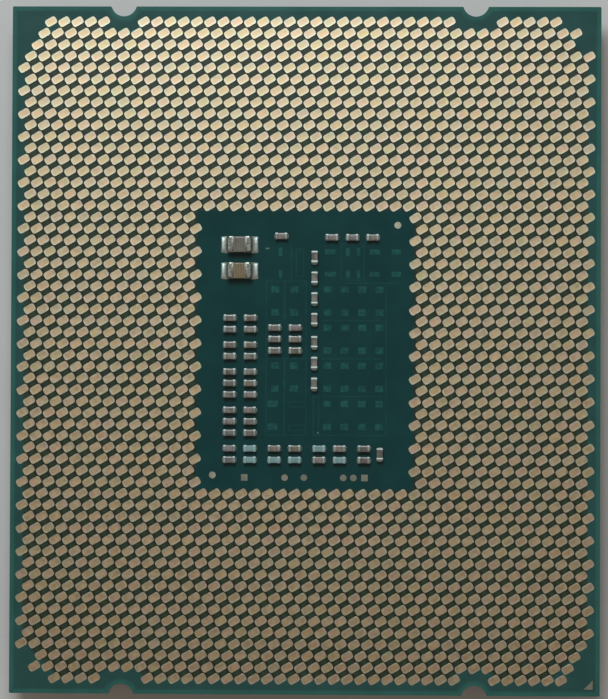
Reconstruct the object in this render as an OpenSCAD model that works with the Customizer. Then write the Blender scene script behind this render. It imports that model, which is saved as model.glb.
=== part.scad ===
// Land grid array processor, lying on its heat spreader with the lands up.
// X runs across the package, Y along it and Z up. The origin is at the middle of the
// heat spreader's contact face. Millimetres.

/* [Package board] */
// Width of the laminate board
board_w = 45; // [40:0.5:52]
// Length of the laminate board
board_l = 52.5; // [46:0.5:60]
// Thickness of the laminate board
board_t = 1.9; // [1.2:0.1:2.6]
// Radius of the board's corners
board_corner_r = 0.1; // [0.1:0.1:0.6]

/* [Keying notches] */
// Radius of a half-round notch
notch_r = 1; // [0.7:0.05:1.1]
// Depth of a notch, from the board's edge
notch_depth = 0.75; // [0.4:0.05:0.85]
// Place of the left notches
notch_left_x = -13.97; // [-16:0.01:-12]
// Place of the right notches
notch_right_x = 12.95; // [12:0.01:16]
// Distance from a notch to the nearest land centre
notch_clearance = 0.9; // [0.8:0.05:1]

/* [Land grid] */
// Centre distance of two lands in a row
land_pitch = 1.016; // [0.98:0.002:1.02]
// Number of rows
land_rows = 58; // [50:2:58]
// Number of places in a row
land_columns = 43; // [36:1:43]
// Width of a land
land_w = 0.58; // [0.45:0.01:0.6]
// Gap between the ends of two neighbouring lands
land_gap = 0.04; // [0.03:0.01:0.12]
// Height of a land over the board
land_t = 0.03; // [0.02:0.005:0.06]
// Least distance from a land's centre to the board's edges
land_margin = 0.9; // [0.75:0.01:0.9]
// Places in a row that the component window takes
window_places = 16; // [16:2:20]
// Rows that the component window takes
window_rows = 24; // [24:2:30]
// Places left out at each end of the first and last rows
corner_places = 2; // [1:1:4]

/* [Marks and pads] */
// Short side of the corner index mark
index_leg = 0.7; // [0.4:0.05:0.8]
// Distance of the index mark from the board's edges
index_inset = 0.53; // [0.4:0.01:0.6]
// Diameter of the fiducial marks
fiducial_d = 0.52; // [0.3:0.01:0.6]
// Place of the fiducial marks across the board
fiducial_x = 7.04; // [6.8:0.01:7.1]
// Place of the fiducial marks along the board
fiducial_y = 9.55; // [9.3:0.01:9.6]
// Size of the probe pads
probe_d = 0.5; // [0.3:0.01:0.6]
// Place of the row of probe pads
probe_y = -9.73; // [-9.8:0.01:-9.4]

/* [Copper relief] */
// Height of the copper relief under the solder mask
relief_t = 0.015; // [0.01:0.005:0.03]
// Width of a relief square
relief_w = 0.6; // [0.4:0.01:0.7]
// Length of a relief square
relief_l = 0.5; // [0.3:0.01:0.6]
// Place of the first row of squares
relief_top_y = 4.62; // [4.5:0.01:4.7]
// Distance of the two rows of a pair
relief_pair_pitch = 1.75; // [1.7:0.01:1.8]
// Distance of two pairs of rows
relief_period = 2.907; // [2.88:0.001:2.92]
// Place of the first right column
relief_right_x = 1.7; // [1.6:0.01:1.8]
// Centre distance of the right columns
relief_right_pitch = 1.32; // [1.25:0.01:1.4]
// Place of the first left column
relief_left_x = -2.3; // [-2.4:0.01:-2.2]
// Centre distance of the left columns
relief_left_pitch = 1.45; // [1.4:0.01:1.5]
// Place of the upper row of bars
bar_top_y = 7.5; // [7.4:0.01:7.6]
// Distance of the two rows of bars
bar_row_pitch = 1.7; // [1.6:0.01:1.8]
// Place of the two bars at the foot of the left columns
foot_bar_x = -2.46; // [-2.5:0.01:-2.4]
// Width of these two bars
foot_bar_w = 0.8; // [0.6:0.01:0.84]
// Height of a trace under the solder mask
trace_t = 0.008; // [0.006:0.001:0.03]
// Width of a trace
trace_w = 0.1; // [0.06:0.01:0.12]
// Width of the trace between the left columns
spine_trace_w = 0.17; // [0.1:0.01:0.2]

/* [Small chips] */
// Length of a small chip
chip_l = 0.94; // [0.9:0.01:1.05]
// Width of a small chip
chip_w = 0.5; // [0.4:0.01:0.6]
// Height of a small chip
chip_h = 0.5; // [0.3:0.01:0.6]
// Length of a small chip's end terminals
chip_wrap = 0.22; // [0.15:0.01:0.3]
// Radius of the solder fillet at a small chip's ends
chip_fillet = 0.07; // [0.06:0.01:0.14]
// Radius of a small chip's corners
chip_corner_r = 0.1; // [0.06:0.01:0.14]
// Width of the solder at a small chip's ends
chip_solder_w = 0.4; // [0.3:0.01:0.6]

/* [Bulk chips] */
// Length of a bulk chip
bulk_l = 2; // [1.6:0.05:2.2]
// Width of a bulk chip
bulk_w = 1.3; // [0.8:0.05:1.5]
// Height of a bulk chip
bulk_h = 0.85; // [0.6:0.05:1.2]
// Length of a bulk chip's end terminals
bulk_wrap = 0.45; // [0.3:0.01:0.55]
// Radius of the solder fillet at a bulk chip's ends
bulk_fillet = 0.42; // [0.2:0.01:0.5]
// Radius of a bulk chip's corners
bulk_corner_r = 0.25; // [0.1:0.01:0.28]
// Width of the solder at a bulk chip's ends
bulk_solder_w = 1.3; // [0.8:0.05:1.5]

/* [Chip build] */
// Thickness of the metal of a terminal
terminal_t = 0.025; // [0.01:0.005:0.04]
// Thickness of the solder under a terminal
joint_t = 0.04; // [0.02:0.005:0.06]

/* [Chip places] */
// First column of chips
column_x = -5.74; // [-5.9:0.01:-5.6]
// Centre distance of the two columns of a block
column_pitch = 1.56; // [1.5:0.01:1.65]
// Centre distance of two blocks of columns
block_pitch = 3.42; // [3.4:0.01:3.5]
// Centre distance of two chips in a cluster
chip_row_pitch = 0.87; // [0.82:0.01:0.9]
// Extra distance between two clusters
cluster_gap = 0.31; // [0.25:0.01:0.33]
// First row of the left bank
left_top_y = 2.43; // [2.3:0.01:2.8]
// First row of the middle bank
middle_top_y = 1.69; // [1.5:0.01:2]
// Place of the spine of upright chips
spine_x = 0.71; // [0.6:0.01:0.75]
// First chip of the spine
spine_top_y = 7.07; // [6.9:0.01:7.3]
// Centre distance of two chips in the spine
spine_pitch = 1.58; // [1.5:0.01:1.65]
// Extra distance between the spine's two groups
spine_gap = 0.18; // [0:0.01:0.3]
// Place of the top row
top_row_y = 8.59; // [8.5:0.01:8.8]
// Place of the single chip before the top row
top_single_x = -1.84; // [-2.2:0.01:-1.5]
// Distance of the single chip above the top row
top_single_rise = 0.09; // [0:0.01:0.2]
// Place of the first of the top row's three chips
top_first_x = 2.02; // [1.8:0.01:2.2]
// Place of the upright chip that ends the base rows
base_end_x = 5.73; // [5.6:0.01:6]
// Place of the two bulk chips
bulk_x = -5.02; // [-5.3:0.01:-4.7]
// Place of the upper bulk chip
bulk_top_y = 8.03; // [7.9:0.01:8.3]
// Centre distance of the two bulk chips
bulk_pitch = 2; // [1.8:0.01:2.2]

/* [Heat spreader] */
// Distance of the side ears from the board's edge
ear_margin = 1; // [0.5:0.1:2]
// Length of the side ears
ear_l = 27; // [20:0.5:34]
// Distance of the flange from the board's long edges
flange_margin_x = 3; // [2.5:0.1:4]
// Distance of the flange from the board's short edges
flange_margin_y = 2.75; // [2:0.05:4]
// Width of the flange's step around the raised contact face
flange_step = 2.6; // [1.5:0.1:3.5]
// Corner radius of the flange and the ears
flange_corner_r = 2; // [1:0.1:3]
// Thickness of the flange
flange_t = 1.6; // [1.2:0.1:2.2]
// Height of the contact face over the flange
plateau_h = 1.35; // [0.8:0.05:2]
// Corner radius of the contact face
plateau_corner_r = 1.5; // [1:0.1:3]
// Width of the bevel around the contact face
plateau_bevel = 0.3; // [0.1:0.05:0.6]
// Width of the wall between the die's pocket and the contact face's edge
pocket_wall = 2.5; // [2:0.1:4]
// Corner radius of the die's pocket
pocket_corner_r = 1.5; // [0.8:0.1:3]

/* [Lid seal] */
// Thickness of the adhesive bead
seal_t = 0.15; // [0.08:0.01:0.25]
// Distance of the bead from the flange's outline
seal_inset = 0.9; // [0.5:0.1:1.5]
// Distance of the bead from the pocket
seal_offset = 0.8; // [0.4:0.1:1.5]
// Width of the breathing gap in the bead
seal_vent_w = 5; // [2:0.5:10]

/* [Die] */
// Width of the silicon die
die_w = 17.6; // [10:0.1:20]
// Length of the silicon die
die_l = 20.2; // [10:0.1:26]
// Thickness of the silicon die
die_t = 0.78; // [0.5:0.01:0.8]
// Gap between the die and the board, filled with bumps and underfill
bump_t = 0.08; // [0.05:0.01:0.1]
// Thickness of the thermal solder between the die and the lid
thermal_t = 0.3; // [0.2:0.01:0.5]
// Width of the thermal solder past the die's edge
thermal_overhang = 0.4; // [0:0.05:0.8]
// Width of the underfill's fillet on the board
underfill_w = 1.1; // [0.5:0.1:1.5]
// Height of the underfill's fillet on the die's sides
underfill_h = 0.4; // [0.2:0.05:0.45]

/* [Hidden] */
$fn = 48;
// Allowance that takes a cutting shape past the face that it opens
cut = 1;

// Heights, from the contact face up to the land side
seat_z = plateau_h + flange_t;
die_side_z = seat_z + seal_t;
land_side_z = die_side_z + board_t;
die_face_z = die_side_z - bump_t;
die_back_z = die_face_z - die_t;
pocket_z = die_back_z - thermal_t;

// Outlines of the heat spreader
flange_w = board_w - 2 * flange_margin_x;
flange_l = board_l - 2 * flange_margin_y;
ear_span = board_w - 2 * ear_margin;
plateau_w = flange_w - 2 * flange_step;
plateau_l = flange_l - 2 * flange_step;
pocket_w = plateau_w - 2 * pocket_wall;
pocket_l = plateau_l - 2 * pocket_wall;

// Hexagonal land pattern: the rows lie closer than the places, and every other row is
// shifted by half a place. A land is turned to point between two of its neighbours.
land_row = land_pitch * sqrt(3) / 2;
land_turn = 30;
land_l = land_row - land_gap;
land_span = (land_rows - 1) / 2;
window_w = window_places * land_pitch;
window_l = window_rows * land_row;
notch_y = board_l / 2 + notch_r - notch_depth;
notch_keepout = notch_r + notch_clearance;
// The index mark's long side is the diameter of the circle around it
index_x = board_w / 2 - index_inset;
index_y = index_inset - board_l / 2;
index_keepout = index_leg / sqrt(2) + norm([land_l, land_w]) / 2 + land_gap;

function land_x(i, j) = (i - (land_columns - 1) / 2 + (j % 2 == 0 ? -1 : 1) / 4) * land_pitch;
function land_y(j) = (land_span - j) * land_row;
function rows_to_edge(j) = min(j, land_rows - 1 - j);
function places_cut(j) = max(0, corner_places - ceil(rows_to_edge(j) / 2));
function off_corner(i, j) = i >= places_cut(j) && i < land_columns - places_cut(j);
function off_edges(p) = min(board_w / 2 - abs(p[0]), board_l / 2 - abs(p[1])) > land_margin;
function off_index(p) =
    norm([p[0] - index_x + index_leg / 2, p[1] - index_y - index_leg / 2]) > index_keepout;
function off_window(p) = abs(p[0]) > window_w / 2 || abs(p[1]) > window_l / 2;
function off_notches(p) =
    min([for (x = [notch_left_x, notch_right_x]) norm([p[0] - x, notch_y - abs(p[1])])]) > notch_keepout;

lands = [
    for (j = [0:land_rows - 1], i = [0:land_columns - 1])
        let (p = [land_x(i, j), land_y(j)])
            if (off_corner(i, j) && off_edges(p) && off_window(p) && off_notches(p) && off_index(p)) p
];

// The window splits the lands into four fields
north_lands = [for (p = lands) if (p[1] > window_l / 2) p];
south_lands = [for (p = lands) if (p[1] < -window_l / 2) p];
west_lands = [for (p = lands) if (abs(p[1]) < window_l / 2 && p[0] < 0) p];
east_lands = [for (p = lands) if (abs(p[1]) < window_l / 2 && p[0] > 0) p];

// Copper under the solder mask: columns of squares in pairs of rows, and two rows of bars
right_relief_x = [for (i = [0:3]) relief_right_x + i * relief_right_pitch];
left_relief_x = [for (i = [0:1]) relief_left_x + i * relief_left_pitch];
bar_rows_y = [bar_top_y, bar_top_y - bar_row_pitch];
// Place and size of each bar of a row
bars = [
    [-1.9, 0.28, 0.65], [1.9, 0.85, 0.38], [3.24, 0.3, 0.62],
    [4.05, 0.26, 0.62], [5.3, 0.8, 0.4], [6.93, 0.72, 0.4]
];
// Traces that close a loop, each by two opposite corners
trace_loops = [
    [[-2.97, -6.5], [0.07, 5.25]],
    [[-0.69, 5.63], [-0.14, 7.7]],
    [[2.74, 5.35], [4.46, 8.1]],
    [[0.64, -6.5], [1.06, -3.53]],
    [[-1.2, -4.34], [0.07, -3.94]],
    [[-1.2, -6.13], [0.07, -5.73]],
];
// Straight traces, each by its two ends
trace_runs = [
    [[1.06, -6.5], [6.17, -6.5]],
    [[6.17, -6.5], [6.17, 5.13]],
    [[3.1, 5.13], [7.2, 5.13]],
    [[-1.07, 5.4], [-1.07, 8.1]],
    [[-2.97, -0.66], [0.07, -0.66]],
    [[1.3, 2.27], [5.8, 2.27]],
    [[1.3, -0.66], [5.8, -0.66]],
    [[1.3, -3.53], [5.8, -3.53]],
];
// Stretches of the trace between the left columns
spine_trace_x = relief_left_x + relief_left_pitch / 2;
spine_trace_runs = [[2.4, 5.25], [-6.5, -0.66]];

// Probe pads along their row
probe_square_x = [-4.6, 4.57];
probe_round_x = [-1.52, -0.05, 2.95, 3.72];

// Chip places, each [x, y, turn]
function sum_first(v, n) = n <= 0 ? 0 : v[n - 1] + sum_first(v, n - 1);
function clustered(top, pitch, gap, counts) = [
    for (g = [0:len(counts) - 1], i = [0:counts[g] - 1])
        top - (sum_first(counts, g) + i) * pitch - g * gap
];
function column(n) = column_x + floor(n / 2) * block_pitch + (n % 2) * column_pitch;

left_rows = clustered(left_top_y, chip_row_pitch, cluster_gap, [2, 2, 3, 3, 2]);
middle_rows = clustered(middle_top_y, chip_row_pitch, 0, [3]);
spine_rows = clustered(spine_top_y, spine_pitch, spine_gap, [4, 3]);
base_rows = [left_rows[10], left_rows[11]];

// Chips of the two base rows by column, after the left bank's first: d is dark, p is pale
base_kinds = ["pddpdd", "pppdpd"];
function base_places(kind) = [
    for (r = [0:1], c = [0:5]) if (base_kinds[r][c] == kind) [column(c + 1), base_rows[r], 0]
];

top_places = concat(
    [[top_single_x, top_row_y + top_single_rise, 0]],
    [for (i = [0:2]) [top_first_x + i * column_pitch, top_row_y, 0]]
);
spine_places = [for (y = spine_rows) [spine_x, y, 90]];
left_outer_places = [for (y = left_rows) [column(0), y, 0]];
left_inner_places = [for (i = [0:9]) [column(1), left_rows[i], 0]];
middle_places = [for (y = middle_rows, c = [2:3]) [column(c), y, 0]];
dark_base_places = concat(base_places("d"), [[base_end_x, (base_rows[0] + base_rows[1]) / 2, 90]]);
pale_base_places = base_places("p");

// Sizes of a chip: length, width, height, terminal length, fillet radius, corner radius
// and width of the solder
small_chip = [chip_l, chip_w, chip_h, chip_wrap, chip_fillet, chip_corner_r, chip_solder_w];
bulk_chip = [bulk_l, bulk_w, bulk_h, bulk_wrap, bulk_fillet, bulk_corner_r, bulk_solder_w];

// Banks of chips: name, places, sizes and the colour of the ceramic
BANKS = [
    ["bulk_upper", [[bulk_x, bulk_top_y, 0]], bulk_chip, "#77716a"],
    ["bulk_lower", [[bulk_x, bulk_top_y - bulk_pitch, 0]], bulk_chip, "#7d705a"],
    ["top_row", top_places, small_chip, "#857a74"],
    ["spine", spine_places, small_chip, "#7f7872"],
    ["left_outer", left_outer_places, small_chip, "#837b74"],
    ["left_inner", left_inner_places, small_chip, "#857a74"],
    ["middle", middle_places, small_chip, "#857b70"],
    ["dark_base", dark_base_places, small_chip, "#857a72"],
    ["pale_base", pale_base_places, small_chip, "#8fa9a6"],
];

gold = "#cdb48c";
tin = "#b9bdb6";

// Rectangle with round corners, about the origin
module rounded_rect(w, l, r) {
    square([w - 2 * r, l], center = true);
    square([w, l - 2 * r], center = true);
    for (x = [-1, 1], y = [-1, 1])
        translate([x * (w / 2 - r), y * (l / 2 - r)]) circle(r);
}

// Block whose four sides slope from the size at the bottom to the size at the top
module sloped_block(bottom, top, h) {
    intersection() {
        rotate([90, 0, 0])
            linear_extrude(bottom[1] + top[1], center = true)
                polygon([[-bottom[0] / 2, 0], [bottom[0] / 2, 0], [top[0] / 2, h], [-top[0] / 2, h]]);
        rotate([90, 0, 90])
            linear_extrude(bottom[0] + top[0], center = true)
                polygon([[-bottom[1] / 2, 0], [bottom[1] / 2, 0], [top[1] / 2, h], [-top[1] / 2, h]]);
    }
}

// Each child stands on the land side at the given places
module on_land_side(places) {
    for (p = places)
        translate([p[0], p[1], land_side_z]) rotate(len(p) > 2 ? p[2] : 0) children();
}

module board_outline() {
    difference() {
        rounded_rect(board_w, board_l, board_corner_r);
        for (x = [notch_left_x, notch_right_x], y = [-1, 1])
            translate([x, y * notch_y]) circle(notch_r);
    }
}

module relief_square(x, y) {
    translate([x, y]) square([relief_w, relief_l], center = true);
}

module copper_relief() {
    for (k = [0:3], s = [0:1]) {
        y = relief_top_y - k * relief_period - s * relief_pair_pitch;
        for (x = right_relief_x) relief_square(x, y);
        // The left columns skip the second pair, which the middle bank covers, and end in bars
        if (k == 0 || k == 2)
            for (x = left_relief_x) relief_square(x, y);
        if (k == 3)
            translate([foot_bar_x, y]) square([foot_bar_w, relief_l], center = true);
    }
    for (y = bar_rows_y, b = bars)
        translate([b[0], y]) square([b[1], b[2]], center = true);
}

// Straight run of a trace with square ends
module trace(low, high, w) {
    translate(low - [w, w] / 2) square(high - low + [w, w]);
}

module trace_loop(low, high) {
    difference() {
        trace(low, high, trace_w);
        trace(low, high, -trace_w);
    }
}

module traces() {
    for (c = trace_loops) trace_loop(c[0], c[1]);
    for (c = trace_runs) trace(c[0], c[1], trace_w);
    for (y = spine_trace_runs) trace([spine_trace_x, y[0]], [spine_trace_x, y[1]], spine_trace_w);
}

// Laminate board with its keying notches and the relief of the copper under its mask
module package_board() {
    color("#1f4a44") {
        translate([0, 0, die_side_z]) linear_extrude(board_t) board_outline();
        translate([0, 0, land_side_z]) linear_extrude(relief_t) copper_relief();
        translate([0, 0, land_side_z]) linear_extrude(trace_t) traces();
    }
}

// One field of contact lands
module land_field(places) {
    color(gold)
        on_land_side(places)
            rotate(land_turn)
                linear_extrude(land_t) square([land_l, land_w], center = true);
}

// Round marks at two opposite corners of the window
module fiducials() {
    color(gold)
        on_land_side([for (s = [-1, 1]) s * [fiducial_x, fiducial_y]])
            linear_extrude(land_t) circle(d = fiducial_d);
}

module probe_pads() {
    color(gold) {
        on_land_side([for (x = probe_square_x) [x, probe_y]])
            linear_extrude(land_t) square(probe_d, center = true);
        on_land_side([for (x = probe_round_x) [x, probe_y]])
            linear_extrude(land_t) circle(d = probe_d);
    }
}

// Triangle at the corner of the first land
module index_mark() {
    color(gold)
        on_land_side([[index_x, index_y]])
            linear_extrude(land_t) polygon([[0, 0], [0, index_leg], [-index_leg, 0]]);
}

module flange_outline() {
    rounded_rect(flange_w, flange_l, flange_corner_r);
    rounded_rect(ear_span, ear_l, flange_corner_r);
}

// Stamped lid: a raised contact face, a flange with two ears and a pocket for the die
module heat_spreader() {
    color("#b4b6b4")
        difference() {
            union() {
                translate([0, 0, plateau_h]) linear_extrude(flange_t) flange_outline();
                intersection() {
                    linear_extrude(plateau_h) rounded_rect(plateau_w, plateau_l, plateau_corner_r);
                    bevelled_face();
                }
            }
            translate([0, 0, pocket_z])
                linear_extrude(seat_z - pocket_z + cut) rounded_rect(pocket_w, pocket_l, pocket_corner_r);
        }
}

// Envelope of the contact face, with its edge bevelled at 45 degrees
module bevelled_face() {
    inner = [plateau_w - 2 * plateau_bevel, plateau_l - 2 * plateau_bevel];
    outer = [plateau_w, plateau_l];
    sloped_block(inner, outer, plateau_bevel);
    translate([0, 0, plateau_bevel]) sloped_block(outer, outer, plateau_h - plateau_bevel);
}

// Adhesive bead between the flange and the board, with a breathing gap
module lid_seal() {
    color("#1b1c1d")
        translate([0, 0, seat_z])
            linear_extrude(seal_t)
                difference() {
                    rounded_rect(flange_w - 2 * seal_inset, flange_l - 2 * seal_inset, flange_corner_r);
                    rounded_rect(pocket_w + 2 * seal_offset, pocket_l + 2 * seal_offset, pocket_corner_r);
                    translate([-seal_vent_w / 2, 0]) square([seal_vent_w, flange_l]);
                }
}

module silicon_die() {
    color("#4a4d55")
        translate([-die_w / 2, -die_l / 2, die_back_z]) cube([die_w, die_l, die_t]);
}

// Solder between the back of the die and the lid
module thermal_solder() {
    size = [die_w + 2 * thermal_overhang, die_l + 2 * thermal_overhang];
    color("#9a9ca0")
        translate([0, 0, pocket_z]) linear_extrude(thermal_t) square(size, center = true);
}

// Resin around the bumps, with a fillet that climbs the sides of the die
module underfill() {
    foot = [die_w + 2 * underfill_w, die_l + 2 * underfill_w];
    color("#3b3f4c")
        difference() {
            translate([0, 0, die_side_z - bump_t - underfill_h])
                sloped_block([die_w, die_l], foot, bump_t + underfill_h);
            translate([-die_w / 2, -die_l / 2, die_back_z - cut]) cube([die_w, die_l, die_t + cut]);
        }
}

// Outline of a chip, drawn in by an inset
module chip_outline(size, inset) {
    rounded_rect(size[0] - 2 * inset, size[1] - 2 * inset, size[5] - inset);
}

// Ceramic block of a chip
module chip_ceramic(size) {
    translate([0, 0, joint_t + terminal_t])
        linear_extrude(size[2] - 2 * terminal_t) chip_outline(size, terminal_t);
}

// Metal caps over the two ends of a chip
module chip_terminals(size) {
    difference() {
        translate([0, 0, joint_t])
            linear_extrude(size[2])
                difference() {
                    chip_outline(size, 0);
                    square([size[0] - 2 * size[3], size[1] + cut], center = true);
                }
        chip_ceramic(size);
    }
}

// Solder under the terminals, with a hollow fillet up each end
module chip_solder(size) {
    fillet = size[4];
    for (turn = [0, 180])
        rotate(turn)
            translate([size[0] / 2, size[6] / 2, 0])
                rotate([90, 0, 0])
                    linear_extrude(size[6])
                        difference() {
                            union() {
                                translate([-size[3], 0]) square([size[3] + fillet, joint_t]);
                                square([fillet, joint_t + fillet]);
                            }
                            translate([fillet, joint_t + fillet]) circle(fillet);
                        }
}

package_board();
land_field(north_lands);
land_field(south_lands);
land_field(west_lands);
land_field(east_lands);
fiducials();
probe_pads();
index_mark();
heat_spreader();
lid_seal();
silicon_die();
thermal_solder();
underfill();
for (b = BANKS) {
    color(b[3]) on_land_side(b[1]) chip_ceramic(b[2]);
    color(tin) on_land_side(b[1]) chip_terminals(b[2]);
    color(tin) on_land_side(b[1]) chip_solder(b[2]);
}
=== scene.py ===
"""Looks of a land grid array processor that lies on its heat spreader, lands up.

Sizes in the classes are millimetres. Meshes are made in metres, in the frame of the
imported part: X across the package, Y along it, Z up, origin under the lid's middle.
"""

import logging
import math
from dataclasses import dataclass
from enum import Enum
from typing import Any, Mapping, Sequence

import bmesh
import bpy
from mathutils import Matrix, Quaternion, Vector

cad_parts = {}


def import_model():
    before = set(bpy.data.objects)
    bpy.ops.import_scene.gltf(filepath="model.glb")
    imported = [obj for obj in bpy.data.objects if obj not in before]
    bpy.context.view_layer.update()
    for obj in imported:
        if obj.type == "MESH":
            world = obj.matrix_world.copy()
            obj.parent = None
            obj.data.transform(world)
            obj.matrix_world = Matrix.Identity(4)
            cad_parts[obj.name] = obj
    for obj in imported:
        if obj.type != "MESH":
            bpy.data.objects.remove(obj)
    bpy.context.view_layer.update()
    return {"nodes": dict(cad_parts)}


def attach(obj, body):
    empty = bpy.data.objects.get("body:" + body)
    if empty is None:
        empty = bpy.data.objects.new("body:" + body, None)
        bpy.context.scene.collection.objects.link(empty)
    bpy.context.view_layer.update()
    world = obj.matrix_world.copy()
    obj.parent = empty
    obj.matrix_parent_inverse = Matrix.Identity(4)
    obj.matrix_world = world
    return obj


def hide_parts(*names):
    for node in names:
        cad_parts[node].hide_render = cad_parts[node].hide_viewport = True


LOG = logging.getLogger("processor")
BODY = "root"
MM = 0.001
# Two points that are closer than this, in metres, are one
WELD = 1e-7
# Mean of a noise, which its range lies about
NOISE_MEAN = 0.5
# Scale at which a wave texture has one line in each millimetre
WAVE = math.tau / 20

Tree = bpy.types.NodeTree
Socket = bpy.types.NodeSocket
Form = bmesh.types.BMesh
Colour = tuple[float, float, float, float]
Box = tuple[Vector, Vector]


def linear(code: str) -> Colour:
    """Turns an sRGB hex value into linear light.

    Args:
        code: Colour as "#rrggbb".

    Returns:
        Red, green, blue and an alpha of 1.
    """
    parts = [int(code[i : i + 2], 16) / 255 for i in (1, 3, 5)]
    light = [c / 12.92 if c <= 0.04045 else ((c + 0.055) / 1.055) ** 2.4 for c in parts]
    return (light[0], light[1], light[2], 1.0)


def add_node(
    tree: Tree, kind: str, inputs: Mapping[Any, Any] | None = None, **settings: Any
) -> bpy.types.Node:
    """Adds one node to a tree, with its settings, values and links.

    Args:
        tree: Tree that gets the node.
        kind: Blender's name of the node's type, without the word ShaderNode before it.
        inputs: Value, or output socket to link, for each input by name or number.
        **settings: Properties of the node.

    Returns:
        The new node.
    """
    node = tree.nodes.new("ShaderNode" + kind)
    for name, value in settings.items():
        setattr(node, name, value)
    for key, value in (inputs or {}).items():
        if isinstance(value, Socket):
            tree.links.new(value, node.inputs[key])
        else:
            node.inputs[key].default_value = value
    return node


@dataclass(frozen=True)
class Finish:
    """Surface of one real material.

    Attributes:
        name: Name of the material in a maker's words.
        slot: Slot of a record for the material; not used.
    """

    name: str
    slot: str

    def material(self) -> bpy.types.Material:
        """Makes the finish's material, or gives the one that is there.

        Returns:
            The material, with its node tree complete.
        """
        known = bpy.data.materials.get(self.name)
        if known is not None:
            return known
        material = bpy.data.materials.new(self.name)
        material.use_nodes = True
        tree = material.node_tree
        tree.nodes.clear()
        shader = add_node(tree, "BsdfPrincipled")
        add_node(tree, "OutputMaterial", {"Surface": shader.outputs["BSDF"]})
        self.dress(tree, shader)
        return material

    def place(self, tree: Tree) -> Socket:
        """Gives the place on the part in millimetres.

        Args:
            tree: Tree that reads the place.

        Returns:
            Socket with the scaled Object coordinates.
        """
        where = add_node(tree, "TexCoord").outputs["Object"]
        return add_node(
            tree, "Mapping", {"Vector": where, "Scale": (1 / MM,) * 3}
        ).outputs["Vector"]

    def dress(self, tree: Tree, shader: bpy.types.Node) -> None:
        """Sets the sockets of a tree's shader and adds the pattern that feeds them."""
        raise NotImplementedError


@dataclass(frozen=True)
class Grained(Finish):
    """Material whose colour, gloss and relief vary with one irregular grain.

    Attributes:
        low: Darker colour of the grain.
        high: Lighter colour of the grain.
        metallic: 1 for a metal.
        rough: Lowest and highest roughness.
        grain: Size of one grain.
        detail: Number of finer grains in it, and the strength of each beside the one before.
        relief: Height of the grain.
        contrast: Share of the grain's range that the colours use.
        shine: Share of the grain's range that the roughness uses.
        hue: How far each primary wanders, up and down together, as a share of it.
        patch: Size of a patch of one hue.
    """

    low: str = "#808080"
    high: str = "#909090"
    metallic: float = 0.0
    rough: tuple[float, float] = (0.4, 0.6)
    grain: float = 0.3
    detail: tuple[float, float] = (4.0, 0.6)
    relief: float = 0.0
    contrast: float = 0.4
    shine: float = 0.4
    hue: tuple[float, float, float] = (0, 0, 0)
    patch: float = 1.0

    def dress(self, tree: Tree, shader: bpy.types.Node) -> None:
        """Drives colour, roughness and bump from one noise.

        Args:
            tree: Material's node tree.
            shader: Its Principled shader.
        """
        place = self.place(tree)
        steps, strength = self.detail
        grain = add_node(
            tree,
            "TexNoise",
            {"Vector": place, "Scale": 1 / self.grain, "Detail": steps, "Roughness": strength},
        ).outputs["Fac"]
        shade = self.shade(tree, place, grain)
        colour = add_node(
            tree,
            "Mix",
            {"Factor": shade, "A": linear(self.low), "B": linear(self.high)},
            data_type="RGBA",
        ).outputs["Result"]
        if any(self.hue):
            colour = self.wander(tree, place, colour)
        tree.links.new(colour, shader.inputs["Base Color"])
        gloss = add_node(
            tree,
            "MapRange",
            {
                "Value": grain,
                "From Min": NOISE_MEAN - self.shine / 2,
                "From Max": NOISE_MEAN + self.shine / 2,
                "To Min": self.rough[0],
                "To Max": self.rough[1],
            },
        ).outputs["Result"]
        tree.links.new(gloss, shader.inputs["Roughness"])
        shader.inputs["Metallic"].default_value = self.metallic
        if self.relief:
            bump = add_node(tree, "Bump", {"Height": grain, "Distance": self.relief * MM})
            tree.links.new(bump.outputs["Normal"], shader.inputs["Normal"])

    def shade(self, tree: Tree, place: Socket, grain: Socket) -> Socket:
        """Tells where between its two colours the material is.

        Args:
            tree: Material's node tree.
            place: Place in millimetres.
            grain: Value of the grain.

        Returns:
            Socket from 0 for the darker colour to 1 for the lighter one.
        """
        return add_node(
            tree,
            "MapRange",
            {
                "Value": grain,
                "From Min": NOISE_MEAN - self.contrast / 2,
                "From Max": NOISE_MEAN + self.contrast / 2,
            },
        ).outputs["Result"]

    def wander(self, tree: Tree, place: Socket, colour: Socket) -> Socket:
        """Lets red, green and blue drift apart from place to place.

        Args:
            tree: Material's node tree.
            place: Place in millimetres.
            colour: Colour that is changed.

        Returns:
            Socket with the new colour.
        """
        drift = add_node(
            tree, "TexNoise", {"Vector": place, "Scale": 1 / self.patch, "Detail": 1.0}
        ).outputs["Color"]
        share = add_node(
            tree,
            "VectorMath",
            {0: drift, 1: self.hue, 2: [1 - NOISE_MEAN * reach for reach in self.hue]},
            operation="MULTIPLY_ADD",
        ).outputs["Vector"]
        return add_node(
            tree,
            "Mix",
            {"Factor": 1.0, "A": colour, "B": share},
            data_type="RGBA",
            blend_type="MULTIPLY",
        ).outputs["Result"]


# Hard gold over nickel: a warm satin metal. The plating varies, so that one land is pinker
# and the next one greener
LAND_FACE = Grained(
    "hard_gold_plate",
    "gold_land",
    low="#cdb490",
    high="#d7be9a",
    metallic=1.0,
    rough=(0.34, 0.44),
    grain=0.4,
    hue=(0.4, 0.2, 0.5),
    patch=0.9,
)
# The raised rim is paler and greyer than the face
LAND_RIM = Grained(
    "pale_gold_rim",
    "gold_land",
    low="#cac4aa",
    high="#dad4bd",
    metallic=1.0,
    rough=(0.32, 0.42),
    grain=0.3,
    hue=(0.3, 0.15, 0.38),
    patch=0.9,
)
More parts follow.
